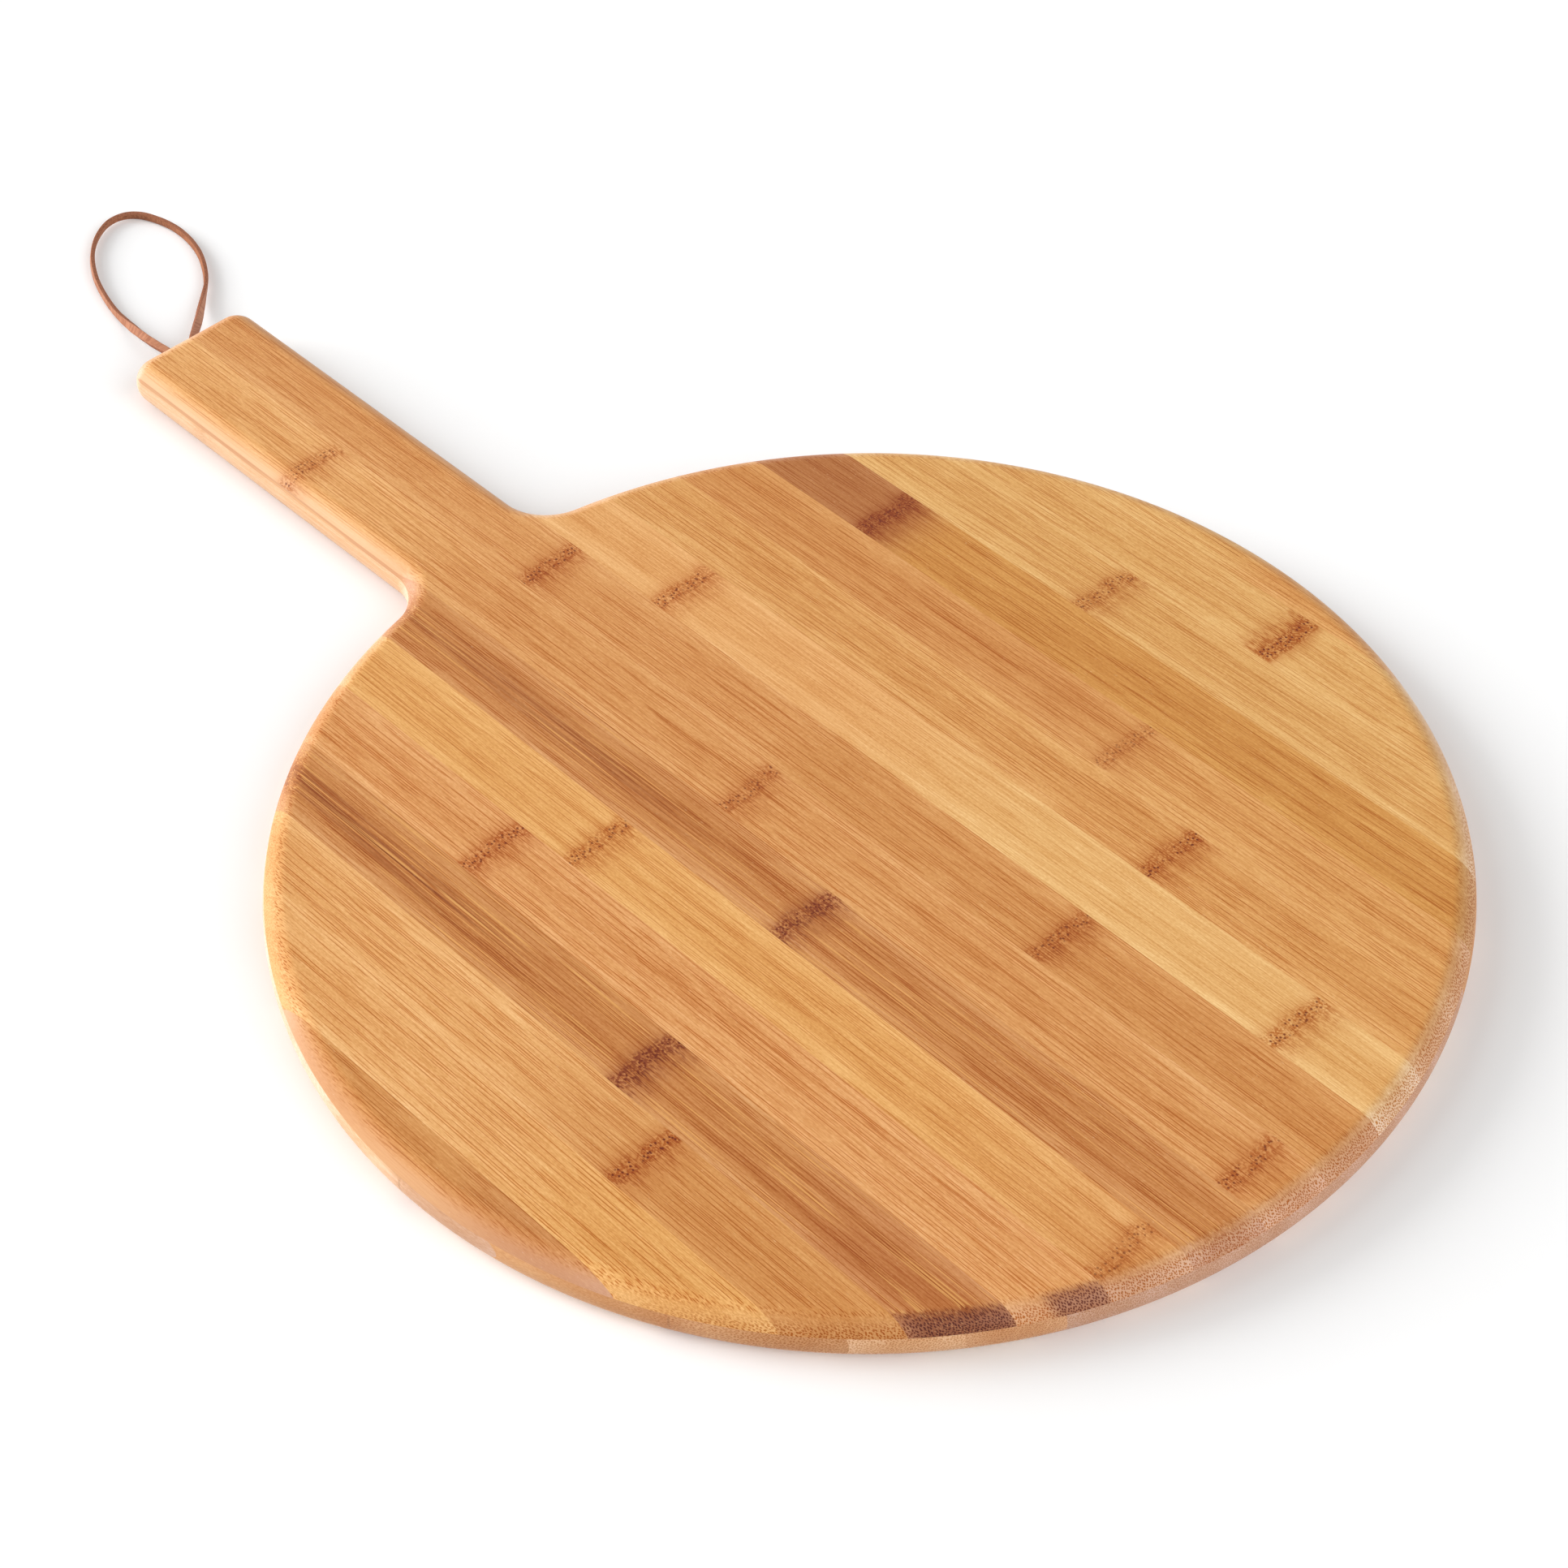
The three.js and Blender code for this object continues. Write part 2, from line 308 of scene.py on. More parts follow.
# Shader nodes
class Graph:
    """A material's nodes. A value is a number, a colour, a vector or another node's output."""

    def __init__(self, name):
        self.material = bpy.data.materials.new(name)
        self.material.use_nodes = True
        self.nodes = self.material.node_tree.nodes
        self.links = self.material.node_tree.links
        self.surface = self.nodes["Principled BSDF"]

    def put(self, socket, value):
        if isinstance(value, bpy.types.NodeSocket):
            self.links.new(value, socket)
        else:
            socket.default_value = value

    def add(self, kind, inputs, output=0, **settings):
        node = self.nodes.new(kind)
        for setting, value in settings.items():
            setattr(node, setting, value)
        for key, value in inputs.items():
            self.put(node.inputs[key], value)
        return node.outputs[output]

    def math(self, operation, *values):
        return self.add("ShaderNodeMath", dict(enumerate(values)), operation=operation)

    def vector(self, operation, *values):
        return self.add("ShaderNodeVectorMath", dict(enumerate(values)), operation=operation)

    def split(self, value):
        return [self.add("ShaderNodeSeparateXYZ", {0: value}, output) for output in range(3)]

    def rise(self, value, start, end):
        """0 before start, 1 after end and smooth in between. Start may be the higher of the two."""
        inputs = {"Value": value, "From Min": start, "From Max": end}
        return self.add("ShaderNodeMapRange", inputs, interpolation_type="SMOOTHSTEP")

    def spread(self, value, low, high):
        """A value from 0 to 1 taken to the range from low to high."""
        return self.math("MULTIPLY_ADD", value, high - low, low)

    def mix(self, share, first, second):
        inputs = {0: share, 6: first, 7: second}
        return self.add("ShaderNodeMix", inputs, 2, data_type="RGBA")

    def product(self, first, *others):
        for other in others:
            first = self.math("MULTIPLY", first, other)
        return first

    def total(self, first, *others):
        for other in others:
            first = self.math("ADD", first, other)
        return first

    def shade(self, tone, light):
        """The tone made darker or lighter. What is darker is also redder."""
        shares = [self.math("POWER", light, power) for power in SHADE_POWERS]
        return self.vector("MULTIPLY", tone, self.add("ShaderNodeCombineXYZ", dict(enumerate(shares))))

    def tint(self, tone, share, factors):
        """The tone multiplied by a colour's parts, as far as the share says."""
        return self.mix(share, tone, self.vector("MULTIPLY", tone, factors))

    def between(self, value, start, end, blur):
        """1 from start to end, 0 outside and smooth at both."""
        low = self.rise(value, start - blur, start + blur)
        return self.product(low, self.rise(value, end + blur, end - blur))

    def noise(self, place, size, detail=2.0):
        inputs = {"Vector": self.vector("DIVIDE", place, size), "Scale": 1.0, "Detail": detail}
        return self.add("ShaderNodeTexNoise", inputs)

    def cells(self, place, size, randomness=0.8, space="3D"):
        """How far each point is from the middle of its cell."""
        inputs = {"Vector": self.vector("DIVIDE", place, size), "Scale": 1.0, "Randomness": randomness}
        return self.add("ShaderNodeTexVoronoi", inputs, voronoi_dimensions=space)

    def relief(self, height, depth):
        inputs = {"Height": height, "Distance": depth * MM, "Strength": 1.0}
        self.put(self.surface.inputs["Normal"], self.add("ShaderNodeBump", inputs))


# Bamboo
def bundle_distance(graph, place, spacing):
    """How far each point is from the middle of its fibre bundle, as a share of the bundles' spacing."""
    x, _, z = graph.split(place)
    wander = graph.spread(graph.noise(place, BUNDLE_WANDER), -BUNDLE_DEPTH, BUNDLE_DEPTH)
    section = graph.add("ShaderNodeCombineXYZ", {0: x, 1: graph.math("ADD", z, wander)})
    turned = {"Vector": section, "Angle": BUNDLE_ROWS}
    rows = graph.add("ShaderNodeVectorRotate", turned, rotation_type="Z_AXIS")
    return graph.cells(rows, (spacing, spacing, spacing), BUNDLE_DISORDER, "2D")


def knuckle(graph, tone, place, off, strength, shade):
    """The tone with one knuckle: a shaded patch, grit and holes across the strip and short lines in front."""
    patchy = graph.rise(graph.noise(place, KNUCKLE_PATCHES), *KNUCKLE_PATCH_MARKS)
    patches = graph.spread(patchy, KNUCKLE_PATCH_LEAST, 1.0)
    shadow = graph.product(
        graph.rise(off, *KNUCKLE_SHADOW_FRONT), graph.rise(off, *KNUCKLE_SHADOW_BACK), patches
    )
    tone = graph.tint(tone, graph.product(shadow, KNUCKLE_SHADOW_STRENGTH * strength), shade)
    grit = graph.rise(graph.noise(place, KNUCKLE_GRIT, 1.0), *KNUCKLE_GRIT_MARKS)
    band = graph.between(off, *KNUCKLE_BAND)
    tone = graph.tint(tone, graph.product(band, grit, patches, strength), shade)
    teeth = graph.rise(graph.cells(place, KNUCKLE_TEETH), *KNUCKLE_TEETH_MARKS)
    front = graph.product(graph.rise(off, *KNUCKLE_TEETH_FRONT), graph.rise(off, *KNUCKLE_TEETH_BACK))
    tone = graph.tint(tone, graph.product(front, teeth, KNUCKLE_TEETH_STRENGTH * strength), shade)
    holes = graph.rise(graph.cells(place, KNUCKLE_HOLES, 1.0, "2D"), *KNUCKLE_HOLE_MARKS)
    torn = graph.rise(graph.noise(place, KNUCKLE_PATCHES), *KNUCKLE_HOLE_PATCHES)
    row = graph.product(graph.between(off, *KNUCKLE_HOLE_ROW), torn)
    dark = graph.product(row, holes, KNUCKLE_HOLE_STRENGTH * strength)
    return graph.mix(dark, tone, colour(KNUCKLE_COLOUR))


def bamboo(name, strip, middle, half_width, seed, spacing):
    """Long fibres that show as lines along the board and as dots where the rounded edge cuts across them."""
    graph = Graph(name)
    metres = graph.add("ShaderNodeTexCoord", {}, "Object")
    board = graph.vector("DIVIDE", metres, (MM, MM, MM))
    place = graph.vector("ADD", board, SEED_SHIFT * seed)
    x, y, z = graph.split(board)
    facing = graph.add("ShaderNodeTexCoord", {}, "Normal")
    backward = graph.split(facing)[1]
    lengthways = graph.math("ABSOLUTE", backward)
    end_grain = graph.rise(lengthways, *END_GRAIN)
    darker_in_front = graph.spread(graph.rise(backward, *FRONT_FACING), DOTS_BEHIND, 1.0)
    dotted = graph.product(graph.rise(lengthways, *DOTS), darker_in_front, strip.dots)
    depth = graph.math("MINIMUM", z, graph.math("SUBTRACT", THICKNESS, z))
    paleness_and_sheen = graph.product(graph.rise(depth, *PALENESS_AND_SHEEN_DEPTH), strip.inside)
    plainer = graph.spread(paleness_and_sheen, 1.0, MARKS_INSIDE)

    # The ground, in bands and clouds, lighter along the joints
    ground = graph.mix(graph.rise(y, *strip.turn), colour(TONES[strip.back]), colour(TONES[strip.front]))
    across = graph.math("ABSOLUTE", graph.math("DIVIDE", graph.math("SUBTRACT", x, middle), half_width))
    bands = graph.noise(place, BANDS)
    fibres = graph.noise(place, FINE_FIBRES)
    light = graph.total(
        graph.spread(graph.noise(place, CLOUDS), 1 - CLOUD_LIGHT, 1 + CLOUD_LIGHT),
        graph.product(graph.spread(bands, -2 * strip.bands, 2 * strip.bands), plainer),
        graph.product(graph.spread(fibres, -FIBRE_LIGHT, FIBRE_LIGHT), plainer),
        graph.product(graph.spread(graph.noise(place, PORES, 1.0), -PORE_LIGHT, PORE_LIGHT), plainer),
        graph.spread(graph.rise(across, JOINT_LIGHT_FROM, 1.0), -strip.edges, strip.edges),
    )
    tone = graph.shade(ground, light)
    if strip.vein:
        start, end, last, strength = strip.vein
        vein = graph.product(graph.between(x, start, end, VEIN_BLUR), graph.rise(y, last, last + VEIN_FADE))
        threads = graph.rise(graph.noise(place, VEIN_LINES), *VEIN_THREADS)
        tone = graph.tint(tone, graph.product(vein, threads, strength), VEIN_SHADE)

    # Dark fibre bundles, denser in some bands than in others, and pale fibres
    edge = graph.spread(end_grain, *BUNDLE_REACH)
    heart = graph.math("SUBTRACT", edge, BUNDLE_BLUR)
    bundles = graph.rise(bundle_distance(graph, place, spacing), edge, heart)
    crowded = graph.spread(graph.rise(bands, *CROWDED_BANDS), SPARSE_SHARE * strip.streaks, strip.streaks)
    sideways = graph.rise(end_grain, *LINES_END)
    lines = graph.product(crowded, sideways, plainer)
    darkness = graph.product(bundles, graph.math("MAXIMUM", lines, dotted))
    tone = graph.tint(tone, darkness, BUNDLE_SHADE)
    pale = graph.rise(graph.noise(place, PALE_FIBRES, 0.0), *PALE_FIBRE_MARKS)
    tone = graph.mix(graph.product(pale, strip.glints), tone, colour(PALE_FIBRE_COLOUR))
    specks = graph.rise(graph.noise(place, SPECKS, 0.0), *SPECK_MARKS)
    tone = graph.mix(graph.product(specks, SPECK_STRENGTH), tone, colour(SPECK_COLOUR))

    # Knuckles
    waves = graph.spread(graph.noise(place, KNUCKLE_WAVES, 1.0), -KNUCKLE_WANDER, KNUCKLE_WANDER)
    shade = PLUM_SHADE if strip.plum else KNUCKLE_SHADE
    for where, strength in strip.knuckles:
        off = graph.math("SUBTRACT", graph.math("SUBTRACT", y, where), waves)
        off = graph.math("MULTIPLY", off, math.copysign(1, strength))
        tone = knuckle(graph, tone, place, off, abs(strength), shade)

    # The wood is paler below its outer face and where its fibres are cut across, partly its own paler wood
    # and partly a painted sheen on the rounded edges, and some ends are stained
    tone = graph.tint(tone, paleness_and_sheen, PALENESS_AND_SHEEN_SHADE)
    # painted light and sheen on the end grain, together with its own paleness
    tone = graph.tint(tone, graph.product(end_grain, strip.inside), END_GRAIN_PALENESS_AND_SHEEN)
    if strip.stain:
        stained = graph.product(
            graph.between(x, *strip.stain, STAIN_BLUR), end_grain, graph.rise(y, *STAIN_FROM)
        )
        tone = graph.tint(tone, graph.product(stained, graph.spread(bundles, STAIN_GROUND, 1.0)), STAIN_SHADE)
        tone = graph.tint(tone, graph.product(stained, bundles), STAIN_SHADE)

    graph.put(graph.surface.inputs["Base Color"], tone)
    graph.put(graph.surface.inputs["Roughness"], graph.spread(bundles, *BAMBOO_ROUGHNESS))
    graph.put(graph.surface.inputs["Specular IOR Level"], BAMBOO_SPECULAR)
    graph.relief(graph.math("SUBTRACT", fibres, bundles), BAMBOO_RELIEF)
    return graph.material


# Leather
def leather(name, shade, light, grain, rough, depth):
    """A face of the lace, in two tones mottled at the given grain size."""
    graph = Graph(name)
    along = graph.add("ShaderNodeUVMap", {})
    mottle = graph.noise(along, (grain, grain, grain), 3.0)
    fibres = graph.noise(along, Vector(LEATHER_FIBRES) * grain)
    marks = graph.total(graph.spread(mottle, 0.0, MOTTLE_SHARE), graph.spread(fibres, 0.0, 1 - MOTTLE_SHARE))
    share = graph.rise(marks, *MOTTLE_MARKS)
    graph.put(graph.surface.inputs["Base Color"], graph.mix(share, colour(shade), colour(light)))
    roughness = graph.spread(mottle, rough + LEATHER_ROUGHNESS_SWING, rough - LEATHER_ROUGHNESS_SWING)
    graph.put(graph.surface.inputs["Roughness"], roughness)
    graph.relief(mottle, depth)
    return graph.material


# The board's shape
def arc(centre, radius, start, end, steps, hollow=False):
    """Points on an arc, each with the direction that leads out of the board. Both ends are included."""
    found = []
    for step in range(steps + 1):
        angle = start + (end - start) * step / steps
        ray = Vector((math.cos(angle), math.sin(angle)))
        found.append((centre + radius * ray, -ray if hollow else ray))
    return found


def board_outline():
    half = HANDLE_WIDTH / 2
    neck = Vector((half + NECK_RADIUS, 0))
    neck.y = math.sqrt((DISC_RADIUS + NECK_RADIUS) ** 2 - neck.x ** 2)
    shoulder = math.atan2(neck.y, neck.x)
    corner = Vector((half - END_CORNER_RADIUS, HANDLE_REACH - END_CORNER_RADIUS))
    mirror = Vector((-1, 1))
    quarter = math.pi / 2
    return [
        *arc(Vector((0, 0)), DISC_RADIUS, math.pi - shoulder, 2 * math.pi + shoulder, DISC_STEPS),
        *arc(neck, NECK_RADIUS, math.pi + shoulder, math.pi, NECK_STEPS, hollow=True)[1:],
        *arc(corner, END_CORNER_RADIUS, 0, quarter, CORNER_STEPS),
        *arc(corner * mirror, END_CORNER_RADIUS, quarter, 2 * quarter, CORNER_STEPS),
        *arc(neck * mirror, NECK_RADIUS, 0, -shoulder, NECK_STEPS, hollow=True)[:-1],
    ]


def panel():
    """The whole board as one body with a half-round edge."""
    turns = [math.pi / 2 * step / EDGE_STEPS for step in range(EDGE_STEPS + 1)]
    insets = [(EDGE_RADIUS * (1 - math.cos(turn)), EDGE_RADIUS * (1 - math.sin(turn))) for turn in turns]
    profile = [(inset, height) for inset, height in reversed(insets)]
    profile += [(inset, THICKNESS - height) for inset, height in insets]
    outline = board_outline()
    body = bmesh.new()
    rings = []
    for inset, height in profile:
        places = [(point - inset * outward).to_3d() + Vector((0, 0, height)) for point, outward in outline]
        rings.append([body.verts.new(place * MM) for place in places])
    for low, high in zip(rings, rings[1:]):
        for i in range(len(outline)):
            body.faces.new((low[i - 1], low[i], high[i], high[i - 1]))
    body.faces.new(reversed(rings[0]))
    body.faces.new(rings[-1])
    return body


def cut(body, point, outward):
    """Takes off what lies beyond a plane and closes the cut."""
    parts = body.verts[:] + body.edges[:] + body.faces[:]
    made = bmesh.ops.bisect_plane(
        body, geom=parts, dist=SNAP * MM, plane_co=point, plane_no=outward, clear_outer=True
    )
    edges = [part for part in made["geom_cut"] if isinstance(part, bmesh.types.BMEdge)]
    bmesh.ops.contextual_create(body, geom=edges)


def show(name, mesh):
    """Puts a mesh in the scene, smooth except at its sharp edges."""
    mesh.shade_smooth()
    mesh.set_sharp_from_angle(angle=SHARP_ANGLE)
    piece = bpy.data.objects.new(name, mesh)
    bpy.context.scene.collection.objects.link(piece)
    return piece


def mesh_of(name, body):
    bmesh.ops.recalc_face_normals(body, faces=body.faces[:])
    mesh = bpy.data.meshes.new(name)
    body.to_mesh(mesh)
    body.free()
    return mesh


def drilled(mesh):
    """The mesh with the lace's two holes in the handle's end."""
    drill = bmesh.new()
    length = 2 * HOLE_DEPTH
    for side in (-1, 1):
        at = Matrix.Translation(Vector((side * HOLE_SPACING / 2, HANDLE_REACH, MID_HEIGHT)) * MM)
        bmesh.ops.create_cone(
            drill, cap_ends=True, segments=HOLE_SIDES, radius1=HOLE_RADIUS * MM, radius2=HOLE_RADIUS * MM,
            depth=length * MM, matrix=at @ Matrix.Rotation(math.pi / 2, 4, "X"),
        )
    cutter = show("drill", mesh_of("drill", drill))
    blank = show("blank", mesh)
    blank.modifiers.new("holes", "BOOLEAN").object = cutter
    bpy.context.view_layer.update()
    result = bpy.data.meshes.new_from_object(blank.evaluated_get(bpy.context.evaluated_depsgraph_get()))
    for helper in (blank, cutter):
        bpy.data.objects.remove(helper)
    return result


def ply(whole, nodes):
    """The panel cut down to one ply's height."""
    low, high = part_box(nodes[0])
    layer = whole.copy()
    if low.z > SNAP * MM:
        cut(layer, (0, 0, low.z - JOINT_CLOSING * MM), (0, 0, -1))
    if high.z < (THICKNESS - SNAP) * MM:
        cut(layer, (0, 0, high.z + JOINT_CLOSING * MM), (0, 0, 1))
    return layer


def show_strip(layer, node, strip, seed, spacing, holed=False):
    """One strip of a ply, which stands for its CAD node."""
    low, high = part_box(node)
    body = layer.copy()
    for limit, outward in ((low.x, -1), (high.x, 1)):
        if abs(limit) < OUTERMOST_CUT * MM:
            cut(body, (limit + outward * JOINT_CLOSING * MM, 0, 0), (outward, 0, 0))
    name = node.replace("strip", "bamboo")
    mesh = mesh_of(name, body)
    piece = show(name, drilled(mesh) if holed else mesh)
    piece.modifiers.new("flat faces", "WEIGHTED_NORMAL").keep_sharp = True
    middle = (low.x + high.x) / 2 / MM
    half_width = (high.x - low.x) / 2 / MM
    piece.data.materials.clear()
    piece.data.materials.append(bamboo(name, strip, middle, half_width, seed, spacing))
    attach(piece, "board")
    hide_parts(node)


def plain_strip(tones, number, back=None, knuckles=0.7, **looks):
    """A strip whose knuckles are set by its number."""
    tone = tones[number % len(tones)]
    first = -KNUCKLE_SPACING + (number * GOLDEN_SHARE) % 1 * KNUCKLE_SPACING
    places = [first + k * KNUCKLE_SPACING for k in range(KNUCKLE_COUNT)]
    found = tuple((place, knuckles) for place in places)
    return Strip(back or tone, tone, knuckles=found, **looks)


def nodes_of(start):
    return sorted(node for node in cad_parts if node.startswith(start))


whole = panel()
top_nodes = nodes_of("top_strip")
top_ply = ply(whole, top_nodes)
for number, node in enumerate(top_nodes):
    show_strip(top_ply, node, TOP_STRIPS[number], number + TOP_SEED, BUNDLE_SPACING)
core_nodes = nodes_of("core_strip")
core_ply = ply(whole, core_nodes)
for number, node in enumerate(core_nodes):
    strip = plain_strip(CORE_TONES, number, **CORE_LOOKS)
    holed = node == HOLED_STRIP
    show_strip(core_ply, node, strip, number + CORE_SEED, CORE_BUNDLE_SPACING, holed)
bottom_nodes = nodes_of("bottom_strip")
bottom_ply = ply(whole, bottom_nodes)
for number, node in enumerate(bottom_nodes):
    show_strip(bottom_ply, node, plain_strip(BOTTOM_TONES, number), number + BOTTOM_SEED, BUNDLE_SPACING)
for body in (whole, top_ply, core_ply, bottom_ply):
    body.free()


# The lace
def smooth_line(points, spacing, fineness=60):
    """Evenly spaced points on a smooth line through the given ones."""
    ends = [2 * points[0] - points[1], *points, 2 * points[-1] - points[-2]]
    dense = []
    for before, start, stop, after in zip(ends, ends[1:], ends[2:], ends[3:]):
        a = math.sqrt((start - before).length)
        b = math.sqrt((stop - start).length)
        c = math.sqrt((after - stop).length)
        leaving = ((start - before) / a - (stop - before) / (a + b) + (stop - start) / b) * b
        arriving = ((stop - start) / b - (after - start) / (b + c) + (after - stop) / c) * b
        for step in range(fineness):
            t = step / fineness
            bend = (t ** 3 - 2 * t ** 2 + t) * leaving + (t ** 3 - t ** 2) * arriving
            dense.append((2 * t ** 3 - 3 * t ** 2 + 1) * start + (3 * t ** 2 - 2 * t ** 3) * stop + bend)
    dense.append(points[-1])
    lengths = [0.0]
    for start, stop in zip(dense, dense[1:]):
        lengths.append(lengths[-1] + (stop - start).length)
    count = round(lengths[-1] / spacing)
    line = []
    i = 0
    for step in range(count + 1):
        along = lengths[-1] * step / count
        while i < len(dense) - 2 and lengths[i + 1] < along:
            i += 1
        line.append(dense[i].lerp(dense[i + 1], (along - lengths[i]) / (lengths[i + 1] - lengths[i])))
    return line, lengths[-1]


def lace_section():
    """The lace's outline, across and through it: a rectangle with rounded corners."""
    half = LACE_WIDTH / 2 - LACE_ROUNDING
    deep = LACE_THICKNESS / 2 - LACE_ROUNDING
    found = []
    corners = [(half, deep), (-half, deep), (-half, -deep), (half, -deep)]
    for quarter, (across, through) in enumerate(corners):
        for step in range(CORNER_FACES + 1):
            angle = math.pi / 2 * (quarter + step / CORNER_FACES)
            x = across + LACE_ROUNDING * math.cos(angle)
            y = through + LACE_ROUNDING * math.sin(angle)
            found.append((x, y))
    return found


def lace_side(start, stop):
    """Which of the lace's materials lies between two neighbours on its outline."""
    if abs(stop[1] - start[1]) > abs(stop[0] - start[0]):
        return CUT_EDGE
    return FLESH_SIDE if start[1] > 0 else GRAIN_SIDE


def lace_mesh(line, length):
    """The lace along its line, flat in both holes and on edge round the loop."""
    section = lace_section()
    in_hole = HOLE_DEPTH - LACE_END_GAP + SWING_REACH
    up = Vector((0, -math.sin(LOOP_LEAN), math.cos(LOOP_LEAN)))
    body = bmesh.new()
    sheet = body.loops.layers.uv.new("UVMap")
    rings = []
    for i, place in enumerate(line):
        tangent = (line[min(i + 1, len(line) - 1)] - line[max(i - 1, 0)]).normalized()
        sideways = tangent.cross(up).normalized()
        upright = sideways.cross(tangent)
        along = length * i / (len(line) - 1)
        share = min(max((min(along, length - along) - in_hole) / TWIST_LENGTH, 0), 1)
        turn = share * share * (3 - 2 * share) * math.pi / 2
        broad = math.cos(turn) * sideways + math.sin(turn) * upright
        deep = tangent.cross(broad)
        waver = 1 + sum(size * math.sin(pace * along + start) for size, pace, start in LACE_WAVER)
        rings.append([
            body.verts.new((place + (across * waver) * broad + through * deep) * MM)
            for across, through in section
        ])
    step = length / (len(line) - 1)
    around = 2 * (LACE_WIDTH + LACE_THICKNESS) / len(section)
    for i, (near, far) in enumerate(zip(rings, rings[1:])):
        for k in range(len(section)):
            after = (k + 1) % len(section)
            made = body.faces.new((near[k], near[after], far[after], far[k]))
            made.material_index = lace_side(section[k], section[after])
            for loop, (u, v) in zip(made.loops, ((i, k), (i, k + 1), (i + 1, k + 1), (i + 1, k))):
                loop[sheet].uv = (u * step, v * around)
    body.faces.new(reversed(rings[0])).material_index = CUT_EDGE
    body.faces.new(rings[-1]).material_index = CUT_EDGE
    return mesh_of("lace", body)


def lace_route():
    """The whole lace from one hole's bottom to the other's."""
    deepest = LACE_END_GAP - HOLE_DEPTH
    inside = [(out, MID_HEIGHT) for out in (deepest, deepest / 2, -MOUTH_DEPTH)]
    left = [(-HOLE_SPACING / 2, out, height) for out, height in [*inside, (SWING_REACH, MID_HEIGHT)]]
    right = [(-across, out, height) for across, out, height in reversed(left)]
    route = [*left, *LOOP_ROUTE, *right]
    return [Vector((across, HANDLE_REACH + out, height)) for across, out, height in route]


lace_line, lace_length = smooth_line(lace_route(), LACE_STEP)
lace = show("lace", lace_mesh(lace_line, lace_length))
for side in (
    leather("leather_grain_side", 0x9E5E3E, 0xBE805C, grain=1.1, rough=0.5, depth=0.03),
    leather("leather_flesh_side", 0x8E5436, 0xB0724E, grain=0.5, rough=0.75, depth=0.08),
    leather("leather_cut_edge", 0x744028, 0xAC6E4E, grain=0.35, rough=0.7, depth=0.08),
):
    lace.data.materials.append(side)
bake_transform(lace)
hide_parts("leather_loop", "leather_end_left", "leather_end_right")


# Stage
def seen(tree):
    """1 for what is seen straight, in a reflection or through glass, and 0 for what only gives light."""
    path = tree.nodes.new("ShaderNodeLightPath")
    shares = [path.outputs[name] for name in ("Is Camera Ray", "Is Glossy Ray", "Is Transmission Ray")]
    total = shares[0]
    for share in shares[1:]:
        both = tree.nodes.new("ShaderNodeMath")
        both.operation = "MAXIMUM"
        tree.links.new(total, both.inputs[0])
        tree.links.new(share, both.inputs[1])
        total = both.outputs[0]
    return total


def floor_material():
    graph = Graph("floor")
    tree = graph.material.node_tree
    graph.surface.inputs["Base Color"].default_value = FLOOR_LIT
    graph.surface.inputs["Roughness"].default_value = FLOOR_ROUGHNESS
    graph.surface.inputs["Specular IOR Level"].default_value = 0
    white = graph.add("ShaderNodeBsdfDiffuse", {"Color": FLOOR_SEEN})
    glow = graph.add("ShaderNodeEmission", {"Color": WHITE, "Strength": FLOOR_GLOW})
    shown = graph.add("ShaderNodeAddShader", {0: white, 1: glow})
    both = graph.add("ShaderNodeMixShader", {0: seen(tree), 1: graph.surface.outputs[0], 2: shown})
    tree.links.new(both, tree.nodes["Material Output"].inputs["Surface"])
    return graph.material


floor_mesh = bmesh.new()
bmesh.ops.create_grid(floor_mesh, x_segments=1, y_segments=1, size=FLOOR_SIZE_M / 2)
floor = bpy.data.objects.new("floor", mesh_of("floor", floor_mesh))
bpy.context.scene.collection.objects.link(floor)
floor.location.z = -FLOOR_DROP * MM
floor.data.materials.append(floor_material())


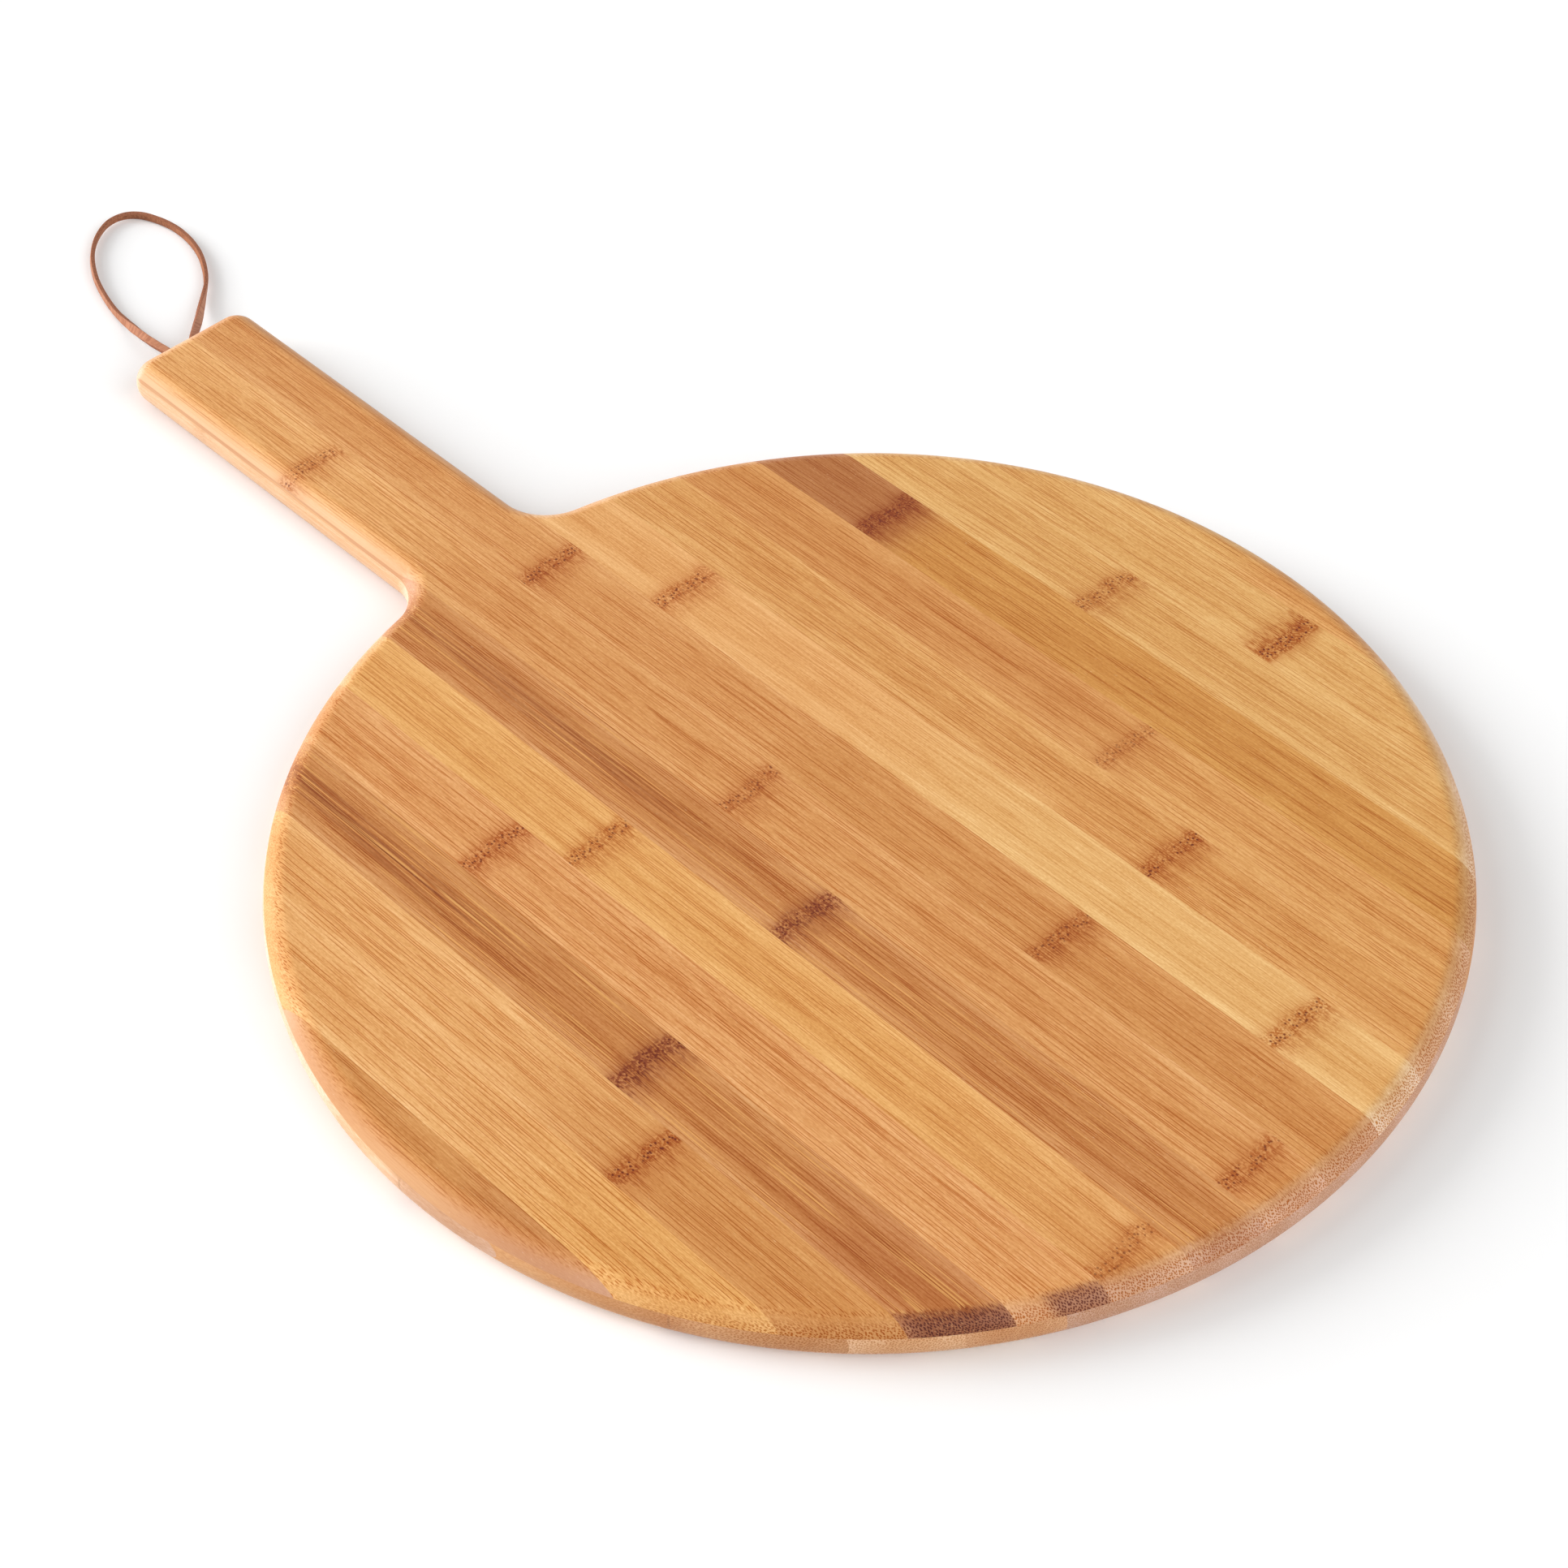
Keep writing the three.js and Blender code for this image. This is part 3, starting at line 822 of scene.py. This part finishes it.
def world_light(strength):
    """White all round: as bright as paper where it is seen, and a soft light on the rest."""
    world = bpy.data.worlds.new("studio")
    bpy.context.scene.world = world
    world.use_nodes = True
    tree = world.node_tree
    background = tree.nodes["Background"]
    background.inputs["Color"].default_value = WHITE
    reach = tree.nodes.new("ShaderNodeMapRange")
    tree.links.new(seen(tree), reach.inputs["Value"])
    reach.inputs["To Min"].default_value = strength
    reach.inputs["To Max"].default_value = 1
    tree.links.new(reach.outputs[0], background.inputs["Strength"])


def lamp(name, azimuth, elevation, strength, spread, mirrored=True):
    """A soft light that is the same all over the stage. Its place is in degrees, round from +X and up."""
    turn = math.radians(azimuth)
    lift = math.radians(elevation)
    place = Vector((math.cos(turn) * math.cos(lift), math.sin(turn) * math.cos(lift), math.sin(lift)))
    light = bpy.data.lights.new(name, "SUN")
    light.energy = strength
    light.angle = math.radians(spread)
    shown = bpy.data.objects.new(name, light)
    shown.rotation_mode = "QUATERNION"
    shown.rotation_quaternion = place.to_track_quat("Z", "Y")
    shown.visible_glossy = mirrored
    bpy.context.scene.collection.objects.link(shown)


world_light(strength=0.2)
# The window is so low that the board's top would mirror it as a glare in a low view from the front
lamp("window", azimuth=120, elevation=10, strength=4.3, spread=48, mirrored=False)
lamp("upper window", azimuth=128, elevation=32, strength=1.2, spread=50)
lamp("right fill", azimuth=300, elevation=30, strength=0.7, spread=50)
lamp("front fill", azimuth=268, elevation=35, strength=1.2, spread=45)

# Camera
back = Vector((
    math.sin(CAMERA_AZIMUTH) * math.cos(CAMERA_ELEVATION),
    -math.cos(CAMERA_AZIMUTH) * math.cos(CAMERA_ELEVATION),
    math.sin(CAMERA_ELEVATION),
))
level = Vector((math.cos(CAMERA_AZIMUTH), math.sin(CAMERA_AZIMUTH), 0))
right = math.cos(CAMERA_ROLL) * level + math.sin(CAMERA_ROLL) * back.cross(level)
camera = bpy.data.objects.new("camera", bpy.data.cameras.new("camera"))
camera.data.sensor_width = CAMERA_SENSOR
camera.data.lens = CAMERA_LENS
camera.matrix_world = Matrix.LocRotScale(
    (CAMERA_TARGET + CAMERA_DISTANCE * back) * MM,
    Matrix((right, back.cross(right), back)).transposed(),
    None,
)
bpy.context.scene.collection.objects.link(camera)
bpy.context.scene.camera = camera
bpy.context.scene.view_settings.view_transform = "Standard"
